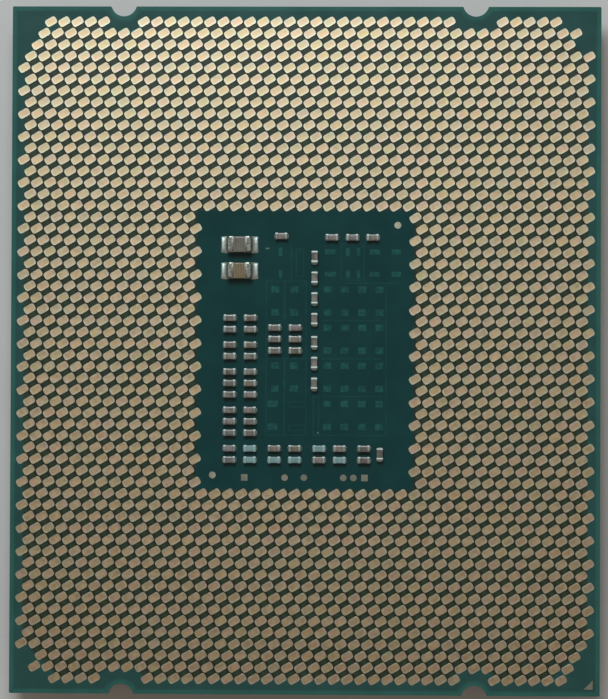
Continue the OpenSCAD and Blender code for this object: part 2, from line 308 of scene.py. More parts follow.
# Bare copper of the probe pads and the index mark: dulled to a flat grey
PAD = Grained(
    "dull_copper_pad",
    "gold_land",
    low="#7c8075",
    high="#a8a497",
    metallic=1.0,
    rough=(0.45, 0.6),
    grain=1.6,
)
# Plating on the two round marks: pale, so that a camera finds them
MARK = Grained(
    "plated_mark",
    "gold_land",
    low="#aaa897",
    high="#c4c2b1",
    metallic=1.0,
    rough=(0.34, 0.44),
    grain=0.5,
)
# Nickel plate over a stamped lid: pale grey, satin, finely grained
NICKEL = Grained(
    "satin_nickel_plate",
    "nickel_plate",
    low="#a9abaa",
    high="#bcbdbb",
    metallic=1.0,
    rough=(0.28, 0.4),
    grain=0.25,
    relief=0.004,
)
# Silicone adhesive: black, matt and a little lumpy
ADHESIVE = Grained(
    "black_silicone",
    "seal_adhesive",
    low="#141516",
    high="#1d1e1f",
    rough=(0.5, 0.65),
    grain=0.5,
    relief=0.02,
)
# Ground silicon: dark and half a mirror
SILICON = Grained(
    "ground_silicon",
    "silicon",
    low="#3c3f45",
    high="#4a4d53",
    metallic=1.0,
    rough=(0.2, 0.3),
    grain=0.4,
)
# Indium solder: a soft, dull grey metal
INDIUM = Grained(
    "soft_indium",
    "thermal_metal",
    low="#8d8f93",
    high="#a2a4a7",
    metallic=1.0,
    rough=(0.4, 0.55),
    grain=0.6,
)
# Epoxy with a mineral filler: nearly black, with a low shine
RESIN = Grained(
    "filled_epoxy",
    "underfill_resin",
    low="#2a2c33",
    high="#343740",
    rough=(0.35, 0.5),
    grain=0.3,
)
# Dipped and plated ends of a chip: dull grey, grainy
TIN = Grained(
    "matte_tin",
    "tin_terminal",
    low="#7e8784",
    high="#b8c2be",
    metallic=1.0,
    rough=(0.4, 0.56),
    grain=0.9,
    relief=0.006,
)
# The large chips' ends are thicker and grainier
GRAINY_TIN = Grained(
    "grainy_tin",
    "tin_terminal",
    low="#7d8178",
    high="#a3a89f",
    metallic=1.0,
    rough=(0.26, 0.4),
    grain=0.16,
    relief=0.006,
)
# Painted shade on their steep walls: a darker, duller and less metallic copy of the tin
SHADED_WALL_TIN = Grained(
    "shaded_wall_tin",
    "tin_terminal",
    low="#6f7671",
    high="#929a94",
    metallic=0.6,
    rough=(0.5, 0.65),
    grain=0.16,
    relief=0.004,
)
# Flux film dulls the ends of the pale chips and takes on their tint
PALE_TIN = Grained(
    "filmed_tin",
    "tin_terminal",
    low="#94b9bb",
    high="#b5dadd",
    metallic=0.3,
    rough=(0.4, 0.55),
    grain=0.12,
    relief=0.005,
)
# Reflowed solder: white metal with a soft, uneven shine
SOLDER = Grained(
    "reflowed_solder",
    "bright_solder",
    low="#c8e0df",
    high="#e8fbf8",
    metallic=1.0,
    rough=(0.35, 0.45),
    grain=0.2,
    relief=0.006,
)


@dataclass(frozen=True)
class Ceramic(Grained):
    """Sintered ceramic of a chip, with the faint lines that cutting leaves on it.

    Its grain is about as large as a chip, which tells one chip from the next.

    Attributes:
        lines: Distance of the cutting lines, or 0 for none.
        cut_span: Values of the grain times the cutting lines at the two colours.
        ior: Index of refraction.
    """

    rough: tuple[float, float] = (0.16, 0.44)
    grain: float = 0.8
    detail: tuple[float, float] = (5.0, 0.5)
    relief: float = 0.004
    contrast: float = 0.24
    shine: float = 0.28
    hue: tuple[float, float, float] = (0.2, 0.1, 0.2)
    patch: float = 1.6
    lines: float = 0.0
    cut_span: tuple[float, float] = (0.0, 0.6)
    ior: float = 1.6

    def dress(self, tree: Tree, shader: bpy.types.Node) -> None:
        """Adds the ceramic's refraction to what every grained material has."""
        super().dress(tree, shader)
        shader.inputs["IOR"].default_value = self.ior

    def shade(self, tree: Tree, place: Socket, grain: Socket) -> Socket:
        """Darkens the grain along the cutting lines.

        Args:
            tree: Material's node tree.
            place: Place in millimetres.
            grain: Value of the grain.

        Returns:
            Socket from 0 for the darker colour to 1 for the lighter one.
        """
        if not self.lines:
            return super().shade(tree, place, grain)
        cuts = add_node(
            tree,
            "TexWave",
            {"Vector": place, "Scale": WAVE / self.lines, "Distortion": 0.6, "Detail": 1.0},
        ).outputs["Fac"]
        lined = add_node(tree, "Math", {0: grain, 1: cuts}, operation="MULTIPLY").outputs[0]
        low, high = self.cut_span
        return add_node(
            tree, "MapRange", {"Value": lined, "From Min": low, "From Max": high}
        ).outputs["Result"]


# Fired titanate of the small chips: stony grey with a soft, uneven gloss
GREY_CERAMIC = Ceramic(
    "grey_titanate", "ceramic_grey", low="#6e6d66", high="#989590", hue=(0.6, 0.2, 0.8)
)
# Sawn titanate of the upper large chip: grey and finely lined
CUT_CERAMIC = Ceramic(
    "cut_grey_titanate",
    "ceramic_grey",
    low="#6f6d68",
    high="#95928c",
    lines=0.13,
    rough=(0.12, 0.26),
)
# Another mix of the small chips' titanate: a browner grey
BROWN_CERAMIC = Ceramic(
    "brown_titanate", "ceramic_brown", low="#747168", high="#96938b", hue=(0.7, 0.2, 0.9)
)
# Sawn titanate of the lower large chip: tan and finely lined
TAN_CERAMIC = Ceramic(
    "cut_tan_titanate",
    "ceramic_tan",
    low="#7d7259",
    high="#a6997d",
    lines=0.13,
    rough=(0.12, 0.26),
)
# Light mix of the pale chips' titanate: an even, light blue green
PALE_CERAMIC = Ceramic(
    "pale_titanate", "ceramic_pale", low="#80a9ac", high="#90bbbe", rough=(0.36, 0.5)
)


@dataclass(frozen=True)
class SolderMask(Finish):
    """Green epoxy mask over a glass laminate, whose layers show on the edges.

    Attributes:
        window: Colour in the component window.
        lands: Colour between the lands, where the laminate shows through.
        shaded_ring: Colour beside a land: painted shade, a darker and browner ring.
        outer: Colour outside the lands.
        band: Colour along the board's edges.
        relief: Colour where copper lifts the mask.
        chipped: Colour where the mask is chipped.
        layers: The two colours of the laminate's edge.
        layer: Distance of the laminate's layers.
        half: Half the board's width and length.
        window_half: Half the window's width and length.
        window_soft: Width of the blend around the window.
        lands_half: Half the width and length of all the lands.
        corner_sum: Distance from the middle, x and y added, past which a corner has no lands.
        land_at: Middle of one land.
        land_pitch: Distance of the lands, which stand in a hexagonal grid.
        land_turn: Turn of a land about Z, in degrees.
        land_near: Values of the grid's waves midway between the lands and beside one.
        notch: Place of a notch from the notches' middle line.
        notch_shift: Place of that middle line.
        notch_r: Radius of a notch.
        notch_bare: Radius without lands around a notch.
        notch_soft: Half the width of the blend around a notch.
        band_w: Width of the lighter band.
        soft: Width of the blends at the lands' ends and at the band.
        top: Height of the land side.
        bottom: Height of the die side.
        lift: Heights over the land side at which the relief's colour starts and is full.
        skin: Depths on an edge at which the laminate ends and the mask is full.
        grain: Size of the mask's unevenness.
        contrast: Share of that unevenness's range that the colour uses.
        mottle: Darkest and lightest share of the colour.
        rough: Lowest and highest roughness.
        scuff: Roughness that is added between the lands.
        peel: Size and height of the ripples that the mask dries with.
        specular: Strength of the mask's reflection.
        blotch: Size of the blotches in the relief, where the copper under the mask is uneven.
        blotch_contrast: Share of the blotches' range that the relief's colour uses.
        blotch_least: Least share of the relief's colour in a blotch.
        chips: Chipped spots, each by its middle and half its width and length.
        chip_soft: Distances, in halves of a spot, at which its colour starts and is full.
    """

    window: str = "#114a4c"
    lands: str = "#364d3a"
    shaded_ring: str = "#2f3424"
    outer: str = "#30605e"
    band: str = "#37746e"
    relief: str = "#266c6b"
    chipped: str = "#6f8f8b"
    layers: tuple[str, str] = ("#2e3a2c", "#4d5238")
    layer: float = 0.19635
    half: tuple[float, float] = (22.5, 26.25)
    window_half: tuple[float, float] = (8.3, 10.7)
    window_soft: float = 0.3
    lands_half: tuple[float, float] = (21.5, 25.0)
    corner_sum: float = 43.7
    land_at: tuple[float, float] = (-0.254, 0.44)
    land_pitch: float = 1.016
    land_turn: float = 30.0
    land_near: tuple[float, float] = (-0.9, -0.4)
    notch: tuple[float, float] = (13.46, 26.5)
    notch_shift: float = -0.51
    notch_r: float = 1.0
    notch_bare: float = 2.4
    notch_soft: float = 0.15
    band_w: float = 0.33
    soft: float = 0.2
    top: float = 5.0
    bottom: float = 3.1
    lift: tuple[float, float] = (0.004, 0.014)
    skin: tuple[float, float] = (0.05, 0.02)
    grain: float = 2.2
    contrast: float = 0.4
    mottle: tuple[float, float] = (0.9, 1.1)
    rough: tuple[float, float] = (0.12, 0.18)
    scuff: float = 0.13
    peel: tuple[float, float] = (0.25, 0.002)
    specular: float = 0.4
    blotch: float = 0.3
    blotch_contrast: float = 0.3
    blotch_least: float = 0.35
    chips: tuple[tuple[float, float, float, float], ...] = (
        (-2.9, 7.75, 0.15, 0.06),
        (1.0, -6.3, 0.07, 0.07),
    )
    chip_soft: tuple[float, float] = (1.3, 0.7)

    def dress(self, tree: Tree, shader: bpy.types.Node) -> None:
        """Paints the mask by its place on the board.

        Args:
            tree: Material's node tree.
            shader: Its Principled shader.
        """
        place = self.place(tree)
        noise = add_node(
            tree, "TexNoise", {"Vector": place, "Scale": 1 / self.grain, "Detail": 3.0}
        ).outputs["Fac"]
        within = self.past(tree, place, self.window_half, self.window_soft)
        bare = self.bare(tree, place)
        colour = self.regions(tree, place, within, bare)
        mottle = add_node(
            tree,
            "MapRange",
            {
                "Value": noise,
                "From Min": NOISE_MEAN - self.contrast / 2,
                "From Max": NOISE_MEAN + self.contrast / 2,
                "To Min": self.mottle[0],
                "To Max": self.mottle[1],
            },
        ).outputs["Result"]
        colour = add_node(
            tree,
            "Mix",
            {"Factor": 1.0, "A": colour, "B": mottle},
            data_type="RGBA",
            blend_type="MULTIPLY",
        ).outputs["Result"]
        colour = self.edges(tree, place, colour)
        tree.links.new(colour, shader.inputs["Base Color"])
        gloss = add_node(
            tree, "MapRange", {"Value": noise, "To Min": self.rough[0], "To Max": self.rough[1]}
        ).outputs["Result"]
        # Socket contacts scuff the mask between the lands, so it is duller there
        among = add_node(
            tree, "Math", {0: within, 1: bare}, operation="SUBTRACT", use_clamp=True
        ).outputs[0]
        gloss = add_node(
            tree, "Math", {0: among, 1: self.scuff, 2: gloss}, operation="MULTIPLY_ADD"
        ).outputs[0]
        tree.links.new(gloss, shader.inputs["Roughness"])
        ripple, height = self.peel
        peel = add_node(
            tree, "TexNoise", {"Vector": place, "Scale": 1 / ripple, "Detail": 2.0}
        ).outputs["Fac"]
        bump = add_node(tree, "Bump", {"Height": peel, "Distance": height * MM})
        tree.links.new(bump.outputs["Normal"], shader.inputs["Normal"])
        shader.inputs["Specular IOR Level"].default_value = self.specular

    def past(self, tree: Tree, place: Socket, half: Sequence[float], soft: float) -> Socket:
        """Tells how far a place lies past a rectangle about the middle.

        Args:
            tree: Material's node tree.
            place: Place in millimetres.
            half: Half the rectangle's width and length.
            soft: Width of the blend.

        Returns:
            Socket from 0 inside to 1 outside.
        """
        folded = add_node(tree, "VectorMath", {0: place}, operation="ABSOLUTE").outputs["Vector"]
        over = add_node(
            tree, "VectorMath", {0: folded, 1: (*half, 0)}, operation="SUBTRACT"
        ).outputs["Vector"]
        axes = add_node(tree, "SeparateXYZ", {"Vector": over}).outputs
        most = add_node(tree, "Math", {0: axes["X"], 1: axes["Y"]}, operation="MAXIMUM").outputs[0]
        return add_node(
            tree,
            "MapRange",
            {"Value": most, "From Min": -soft / 2, "From Max": soft / 2},
            interpolation_type="SMOOTHSTEP",
        ).outputs["Result"]

    def bare(self, tree: Tree, place: Socket) -> Socket:
        """Finds the places outside the lands: edges, corners and notches.

        Args:
            tree: Material's node tree.
            place: Place in millimetres.

        Returns:
            Socket from 0 among the lands to 1 outside them.
        """
        folded = add_node(tree, "VectorMath", {0: place}, operation="ABSOLUTE").outputs["Vector"]
        total = add_node(
            tree, "VectorMath", {0: folded, 1: (1, 1, 0)}, operation="DOT_PRODUCT"
        ).outputs["Value"]
        free = add_node(
            tree,
            "MapRange",
            {
                "Value": total,
                "From Min": self.corner_sum - self.soft,
                "From Max": self.corner_sum + self.soft,
            },
        ).outputs["Result"]
        for other in (
            self.near_notch(tree, place, self.notch_bare),
            self.past(tree, place, self.lands_half, self.soft),
        ):
            free = add_node(tree, "Math", {0: free, 1: other}, operation="MAXIMUM").outputs[0]
        return free

    def near_notch(self, tree: Tree, place: Socket, radius: float) -> Socket:
        """Finds the places around the four notches.

        Args:
            tree: Material's node tree.
            place: Place in millimetres.
            radius: Distance from a notch's middle that still counts.

        Returns:
            Socket from 0 far from the notches to 1 near one.
        """
        moved = add_node(
            tree, "VectorMath", {0: place, 1: (-self.notch_shift, 0, 0)}, operation="ADD"
        ).outputs["Vector"]
        folded = add_node(tree, "VectorMath", {0: moved}, operation="ABSOLUTE").outputs["Vector"]
        flat = add_node(
            tree, "VectorMath", {0: folded, 1: (1, 1, 0)}, operation="MULTIPLY"
        ).outputs["Vector"]
        away = add_node(
            tree, "VectorMath", {0: flat, 1: (*self.notch, 0)}, operation="DISTANCE"
        ).outputs["Value"]
        return add_node(
            tree,
            "MapRange",
            {
                "Value": away,
                "From Min": radius + self.notch_soft,
                "From Max": radius - self.notch_soft,
            },
        ).outputs["Result"]

    def regions(self, tree: Tree, place: Socket, within: Socket, bare: Socket) -> Socket:
        """Colours the window, the lands, the rim of the board and the relief.

        Args:
            tree: Material's node tree.
            place: Place in millimetres.
            within: Socket from 0 in the window to 1 outside it.
            bare: Socket from 0 among the lands to 1 outside them.

        Returns:
            Socket with the mask's colour.
        """
        height = add_node(tree, "SeparateXYZ", {"Vector": place}).outputs["Z"]
        start, full = (self.top + rise for rise in self.lift)
        lifted = add_node(
            tree, "MapRange", {"Value": height, "From Min": start, "From Max": full}
        ).outputs["Result"]
        uneven = add_node(
            tree, "TexNoise", {"Vector": place, "Scale": 1 / self.blotch, "Detail": 2.0}
        ).outputs["Fac"]
        cover = add_node(
            tree,
            "MapRange",
            {
                "Value": uneven,
                "From Min": NOISE_MEAN - self.blotch_contrast / 2,
                "From Max": NOISE_MEAN + self.blotch_contrast / 2,
                "To Min": self.blotch_least,
            },
        ).outputs["Result"]
        lifted = add_node(tree, "Math", {0: lifted, 1: cover}, operation="MULTIPLY").outputs[0]
        band_half = [h - self.band_w for h in self.half]
        rim = self.past(tree, place, band_half, self.soft)
        ring = self.near_notch(tree, place, self.notch_r + self.band_w)
        rim = add_node(tree, "Math", {0: rim, 1: ring}, operation="MAXIMUM").outputs[0]
        steps = (
            # Painted shade: a darker, browner ring beside each land
            (self.beside(tree, place), linear(self.lands), linear(self.shaded_ring)),
            (within, linear(self.window), None),
            (bare, None, linear(self.outer)),
            (rim, None, linear(self.band)),
            (lifted, None, linear(self.relief)),
            *((self.spot(tree, place, chip), None, linear(self.chipped)) for chip in self.chips),
        )
        colour: Any = None
        for share, first, second in steps:
            tones = {"Factor": share, "A": first or colour, "B": second or colour}
            colour = add_node(tree, "Mix", tones, data_type="RGBA").outputs["Result"]
        return colour

    def spot(self, tree: Tree, place: Socket, chip: Sequence[float]) -> Socket:
        """Finds the places in one chipped spot on the land side.

        Args:
            tree: Material's node tree.
            place: Place in millimetres.
            chip: Middle of the spot, and half its width and length.

        Returns:
            Socket from 0 outside the spot to 1 in it.
        """
        x, y, wide, long = chip
        away = add_node(
            tree, "VectorMath", {0: place, 1: (x, y, self.top)}, operation="SUBTRACT"
        ).outputs["Vector"]
        scaled = add_node(
            tree, "VectorMath", {0: away, 1: (1 / wide, 1 / long, 1 / wide)}, operation="MULTIPLY"
        ).outputs["Vector"]
        reach = add_node(tree, "VectorMath", {0: scaled}, operation="LENGTH").outputs["Value"]
        start, full = self.chip_soft
        return add_node(
            tree, "MapRange", {"Value": reach, "From Min": start, "From Max": full}
        ).outputs["Result"]

    def beside(self, tree: Tree, place: Socket) -> Socket:
        """Finds the places close to a land.

        Args:
            tree: Material's node tree.
            place: Place in millimetres.

        Returns:
            Socket from 0 midway between the lands to 1 at a land.
        """
        shifted = add_node(
            tree, "VectorMath", {0: place, 1: (*self.land_at, 0)}, operation="SUBTRACT"
        ).outputs["Vector"]
        turn = math.radians(self.land_turn)
        along = math.tau / (self.land_pitch * math.sqrt(3))
        across = math.tau / self.land_pitch
        waves = [
            (math.cos(turn) * along, math.sin(turn) * along, 0),
            (-math.sin(turn) * across, math.cos(turn) * across, 0),
        ]
        swings = []
        for wave in waves:
            phase = add_node(
                tree, "VectorMath", {0: shifted, 1: wave}, operation="DOT_PRODUCT"
            ).outputs["Value"]
            swings.append(add_node(tree, "Math", {0: phase}, operation="COSINE").outputs[0])
        grid = add_node(tree, "Math", {0: swings[0], 1: swings[1]}, operation="MULTIPLY").outputs[0]
        midway, close = self.land_near
        return add_node(
            tree, "MapRange", {"Value": grid, "From Min": midway, "From Max": close}
        ).outputs["Result"]

    def edges(self, tree: Tree, place: Socket, mask: Socket) -> Socket:
        """Shows the laminate's layers on the cut edges.

        Args:
            tree: Material's node tree.
            place: Place in millimetres.
            mask: Colour of the mask on both faces.

        Returns:
            Socket with the board's colour.
        """
        sheets = add_node(
            tree,
            "TexWave",
            {"Vector": place, "Scale": WAVE / self.layer, "Distortion": 0.8, "Detail": 2.0},
            bands_direction="Z",
        ).outputs["Fac"]
        laminate = add_node(
            tree,
            "Mix",
            {"Factor": sheets, "A": linear(self.layers[0]), "B": linear(self.layers[1])},
            data_type="RGBA",
        ).outputs["Result"]
        middle = (self.top + self.bottom) / 2
        reach = (self.top - self.bottom) / 2
        height = add_node(tree, "SeparateXYZ", {"Vector": place}).outputs["Z"]
        off = add_node(tree, "Math", {0: height, 1: middle}, operation="SUBTRACT").outputs[0]
        off = add_node(tree, "Math", {0: off}, operation="ABSOLUTE").outputs[0]
        start, full = (reach - depth for depth in self.skin)
        skin = add_node(
            tree, "MapRange", {"Value": off, "From Min": start, "From Max": full}
        ).outputs["Result"]
        return add_node(
            tree, "Mix", {"Factor": skin, "A": laminate, "B": mask}, data_type="RGBA"
        ).outputs["Result"]


# Epoxy mask: a glossy blue green, duller and browner between the lands, with painted shade in a
# ring beside each land
MASK = SolderMask("green_solder_mask", "solder_mask")
# Coated studio floor: nearly white and matt
FLOOR = Grained(
    "pale_studio_floor", "", low="#eef1f2", high="#f6f8f8", rough=(0.5, 0.7), grain=12.0
)


def solids_of(node: bpy.types.Object) -> list[Box]:
    """Finds the separate solids in a node of the frame.

    Args:
        node: Node whose mesh is read.

    Returns:
        Lowest and highest corner of each solid, in metres.
    """
    bm = bmesh.new()
    bm.from_mesh(node.data)
    bmesh.ops.remove_doubles(bm, verts=bm.verts[:], dist=WELD)
    seen: set[bmesh.types.BMVert] = set()
    boxes: list[Box] = []
    for seed in bm.verts:
        if seed in seen:
            continue
        seen.add(seed)
        front, group = [seed], []
        while front:
            vert = front.pop()
            group.append(vert.co.copy())
            for edge in vert.link_edges:
                other = edge.other_vert(vert)
                if other not in seen:
                    seen.add(other)
                    front.append(other)
        boxes.append((Vector(map(min, *group)), Vector(map(max, *group))))
    bm.free()
    return boxes


def make_piece(
    name: str,
    bm: Form,
    finishes: Sequence[Finish],
    nodes: Sequence[str] = (),
    sharp: float = 35.0,
) -> bpy.types.Object:
    """Turns a bmesh into a finished piece of the part.

    Args:
        name: Name of the piece.
        bm: Mesh in metres, in the part's frame. It is used up.
        finishes: Finishes in the order of the faces' material numbers.
        nodes: Nodes of the frame that the piece stands for.
        sharp: Angle in degrees from which an edge stays sharp.

    Returns:
        The piece's object.
    """
    mesh = bpy.data.meshes.new(name)
    for face in bm.faces:
        face.smooth = True
    bm.to_mesh(mesh)
    bm.free()
    mesh.set_sharp_from_angle(angle=math.radians(sharp))
    for finish in finishes:
        mesh.materials.append(finish.material())
    piece = bpy.data.objects.new(name, mesh)
    bpy.context.scene.collection.objects.link(piece)
    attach(piece, BODY)
    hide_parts(*nodes)
    LOG.info("%s: %d faces", name, len(mesh.polygons))
    return piece


def dress_node(node: bpy.types.Object, finish: Finish) -> None:
    """Gives a node of the frame its finish.

    Args:
        node: Node that stays as it is.
        finish: Finish for all its faces.
    """
    node.data.materials.clear()
    node.data.materials.append(finish.material())
    LOG.info("%s: dressed in %s", node.name, finish.name)


class Rounding(Enum):
    """What a round is made on."""

    EDGES = "EDGES"
    CORNERS = "VERTICES"


def round_off(
    bm: Form, geom: Sequence[Any], radius: float, segments: int = 4, on: Rounding = Rounding.EDGES
) -> None:
    """Rounds some edges or corners of a mesh.

    Args:
        bm: Mesh that they belong to.
        geom: Edges, or vertices at the corners.
        radius: Radius of the round, in metres.
        segments: Faces across the round.
        on: Which of the two they are.
    """
    bmesh.ops.bevel(
        bm,
        geom=geom,
        offset=radius,
        offset_type="OFFSET",
        affect=on.value,
        segments=segments,
        profile=0.5,
        material=-1,
        clamp_overlap=True,
    )


class Field(Enum):
    """The four fields of contact lands around the window."""

    NORTH = "north_lands"
    SOUTH = "south_lands"
    WEST = "west_lands"
    EAST = "east_lands"


@dataclass
class LandField:
    """Contact lands of one field: gold-plated bars with round corners and a soft rim.

    Attributes:
        field: Which field it is.
        length: Length of a land.
        width: Width of a land.
        corner: Radius of its corners.
        corner_steps: Faces across a corner.
        turn: Turn of a land about Z, in degrees.
        root: Depth of a land in the mask.
        shoulder: Width of the round at the top edge.
        rim: Width of the paler rim.
        dish: Depth of the hollow face.
        crease: Angle in degrees from which an edge stays sharp.
    """

    field: Field
    length: float = 0.91
    width: float = 0.61
    corner: float = 0.18
    corner_steps: int = 2
    turn: float = 30.0
    root: float = 0.005
    shoulder: float = 0.016
    rim: float = 0.115
    dish: float = 0.002
    crease: float = 4.0

    def template(self, height: float) -> bpy.types.Mesh:
        """Makes one land about the origin, its top at height.

        Args:
            height: Height of the land over the board.

        Returns:
            Closed mesh in metres.
        """
        bm = bmesh.new()
        bmesh.ops.create_grid(bm, x_segments=1, y_segments=1, size=0.5)
        bmesh.ops.scale(bm, vec=Vector((self.length, self.width, 1)) * MM, verts=bm.verts[:])
        round_off(bm, bm.verts[:], self.corner * MM, self.corner_steps, Rounding.CORNERS)
        bmesh.ops.translate(bm, vec=(0, 0, -self.root * MM), verts=bm.verts[:])
        grown = bmesh.ops.extrude_face_region(bm, geom=bm.faces[:])["geom"]
        top = next(g for g in grown if isinstance(g, bmesh.types.BMFace))
        rise = (height - self.shoulder / 2 + self.root) * MM
        bmesh.ops.translate(bm, vec=(0, 0, rise), verts=top.verts[:])
        for width, depth in ((self.shoulder, self.shoulder / 2), (self.rim, -self.dish)):
            bmesh.ops.inset_region(
                bm,
                faces=[top],
                thickness=width * MM,
                depth=depth * MM,
                use_even_offset=True,
                use_boundary=True,
            )
        for face in bm.faces:
            face.material_index = 0 if face is top else 1
        turn = Matrix.Rotation(math.radians(self.turn), 3, "Z")
        bmesh.ops.rotate(bm, cent=(0, 0, 0), matrix=turn, verts=bm.verts[:])
        bmesh.ops.recalc_face_normals(bm, faces=bm.faces[:])
        mesh = bpy.data.meshes.new("land")
        bm.to_mesh(mesh)
        bm.free()
        return mesh

    def build(self, node: bpy.types.Object) -> bpy.types.Object:
        """Sets a land at each place of the field's node.

        Args:
            node: The field's node in the frame.

        Returns:
            The field as one piece.
        """
        places = solids_of(node)
        height = (places[0][1].z - places[0][0].z) / MM
        land = self.template(height)
        bm = bmesh.new()
        for low, high in places:
            copy = land.copy()
            middle = (low + high) / 2
            copy.transform(Matrix.Translation((middle.x, middle.y, low.z)))
            bm.from_mesh(copy)
            bpy.data.meshes.remove(copy)
        bpy.data.meshes.remove(land)
        name = self.field.value
        return make_piece(name + "_plated", bm, (LAND_FACE, LAND_RIM), [name], self.crease)


@dataclass
class ChipBank:
    """Bank of chips on the land side: ceramic blocks, metal ends and solder.

    Attributes:
        name: Name of the bank in the frame.
        ceramic: Finish of the blocks.
        metal: Finish of the ends' tops.
        wall: Finish of the ends' steep faces.
        crown: Width across X, width across Y and height of the slope that tumbling leaves
            around a chip's top.
        rounds: Radius of the upright edges at a chip's ends and how far the brow drops there.
        lap: How far the metal's thin edge runs on over the ceramic.
        slim: How far a chip's long sides stay inside its place.
        frame: Width of the narrow frame inside a chip's top.
        steep: Upward share of a normal below which a face of an end is a wall.
        toe: Height of the solder's toe.
        hollow: How hollow the solder's slope is, from 1 for a straight one.
        taper: Share of the solder's width that is gone at its toe.
        powers: Powers in a foot's outline, of its taper, its round sides and its round toe.
        rim: Share of a foot's height that is left at its rim.
        root: Depth of a foot in the mask.
        steps: Faces along and across a foot.
    """

    name: str
    ceramic: Finish
    metal: Finish = TIN
    wall: Finish = TIN
    crown: tuple[float, float, float] = (0.03, 0.09, 0.022)
    rounds: tuple[float, float] = (0.05, 0.0)
    lap: float = 0.0
    slim: float = 0.0
    frame: float = 0.02
    steep: float = 0.9
    toe: float = 0.008
    hollow: float = 1.2
    taper: float = 0.4
    powers: tuple[float, float, float] = (3, 2.5, 12)
    rim: float = 0.12
    root: float = 0.004
    steps: tuple[int, int] = (5, 6)

    def build(self, nodes: Mapping[str, bpy.types.Object]) -> None:
        """Builds the bank's blocks, ends and solder.

        Args:
            nodes: Nodes of the frame by name.
        """
        ceramics = nodes[self.name + "_ceramics"]
        metals = nodes[self.name + "_terminals"]
        joints = nodes[self.name + "_solder"]
        caps = solids_of(metals)
        blocks = solids_of(ceramics)
        feet = self.feet(caps, solids_of(joints))
        ends = self.ends(caps, blocks)
        make_piece(self.name + "_blocks", self.blocks(blocks), (self.ceramic,), [ceramics.name])
        make_piece(self.name + "_ends", ends, (self.metal, self.wall), [metals.name])
        make_piece(self.name + "_feet", feet, (SOLDER,), [joints.name])

    def blocks(self, boxes: Sequence[Box]) -> Form:
        """Builds the ceramic blocks, which stop short inside the metal ends.

        Args:
            boxes: Corners of the blocks, in metres.

        Returns:
            The blocks in one mesh.
        """
        bm = bmesh.new()
        for low, high in boxes:
            axis = 0 if high.x - low.x > high.y - low.y else 1
            tuck = Vector()
            tuck[axis] = self.rounds[0] * MM
            tuck[1 - axis] = self.slim * MM
            self.bar(bm, (low + tuck, high - tuck), axis, ())
        return bm

    def ends(self, caps: Sequence[Box], blocks: Sequence[Box]) -> Form:
        """Builds the metal ends, which are cut off square where the ceramic comes out.

        Args:
            caps: Corners of the metal ends, in metres.
            blocks: Corners of the ceramic blocks, in metres.

        Returns:
            The ends in one mesh.
        """
        bm = bmesh.new()
        for low, high in caps:
            axis, side, _ = self.heading((low, high), blocks)
            slim, lap = Vector(), Vector()
            slim[1 - axis] = self.slim * MM
            lap[axis] = self.lap * MM
            low, high = low + slim, high - slim
            box = (low - lap, high) if side > 0 else (low, high + lap)
            self.bar(bm, box, axis, (side,))
        bm.normal_update()
        # Steep faces get the wall finish, which on the large chips is painted shade
        for face in bm.faces:
            face.material_index = 1 if face.normal.z < self.steep else 0
        return bm

    def bar(self, bm: Form, box: Box, axis: int, ends: Sequence[int]) -> None:
        """Adds a bar with a crowned top, rounded off at some of its ends.

        Args:
            bm: Mesh that gets the bar.
            box: Lowest and highest corner, in metres.
            axis: Axis that the bar runs along, 0 for X and 1 for Y.
            ends: Ends that are rounded off: -1 for the low one, 1 for the high one.
        """
        slope_x, slope_y, rise = (size * MM for size in self.crown)
        radius, drop = (size * MM for size in self.rounds)
        known = set(bm.faces)
        low, high = box[0], box[1] - Vector((0, 0, rise))
        middle = (low + high) / 2
        verts = bmesh.ops.create_cube(bm, size=1.0)["verts"]
        bmesh.ops.scale(bm, vec=high - low, verts=verts)
        bmesh.ops.translate(bm, vec=middle, verts=verts)
        sides = list({edge: None for vert in verts for edge in vert.link_edges})
        planes = [(low if end < 0 else high)[axis] for end in ends]
        uprights = [e for e in sides if abs(e.verts[0].co.z - e.verts[1].co.z) > WELD]
        corners = [e for e in uprights if any(abs(e.verts[0].co[axis] - p) < WELD for p in planes)]
        round_off(bm, corners, radius)
        added = [f for f in bm.faces if f not in known]
        flat = [f for f in added if all(abs(v.co.z - high.z) < WELD for v in f.verts)]
        bmesh.ops.inset_region(
            bm, faces=flat, thickness=slope_x, depth=rise, use_even_offset=True, use_boundary=True
        )
        half = (high.y - low.y) / 2
        narrow = Vector((1, (half - slope_y) / (half - slope_x), 1))
        inner = list({v: None for f in flat for v in f.verts})
        bmesh.ops.scale(bm, vec=narrow, space=Matrix.Translation(-middle), verts=inner)
        added = [f for f in bm.faces if f not in known]
        brow = {v: None for f in added for v in f.verts if abs(v.co.z - high.z) < WELD}
        for plane in planes:
            for vert in brow:
                share = max(0.0, 1 - abs(vert.co[axis] - plane) / radius)
                vert.co.z -= drop * share**0.5
        # The narrow frame keeps the shading of the top flat
        bmesh.ops.inset_region(
            bm, faces=flat, thickness=self.frame * MM, use_even_offset=True, use_boundary=True
        )

    def heading(self, box: Box, others: Sequence[Box]) -> tuple[int, int, Box]:
        """Finds which way a piece lies from the nearest of some others.

        Args:
            box: Corners of the piece.
            others: Corners of the others.

        Returns:
            Axis, 0 for X or 1 for Y, 1 or -1 for its side, and the nearest one's corners.
        """
        middle = (box[0] + box[1]) / 2
        near = min(others, key=lambda other: ((other[0] + other[1]) / 2 - middle).length)
        out = middle - (near[0] + near[1]) / 2
        axis = 0 if abs(out.x) > abs(out.y) else 1
        return axis, 1 if out[axis] > 0 else -1, near

    def feet(self, caps: Sequence[Box], joints: Sequence[Box]) -> Form:
        """Builds a solder foot before each metal end.

        Args:
            caps: Corners of the metal ends, in metres.
            joints: Corners of the solder joints, in metres.

        Returns:
            The feet in one mesh.
        """
        bm = bmesh.new()
        for joint in joints:
            self.foot(bm, joint, *self.heading(joint, caps))
        return bm

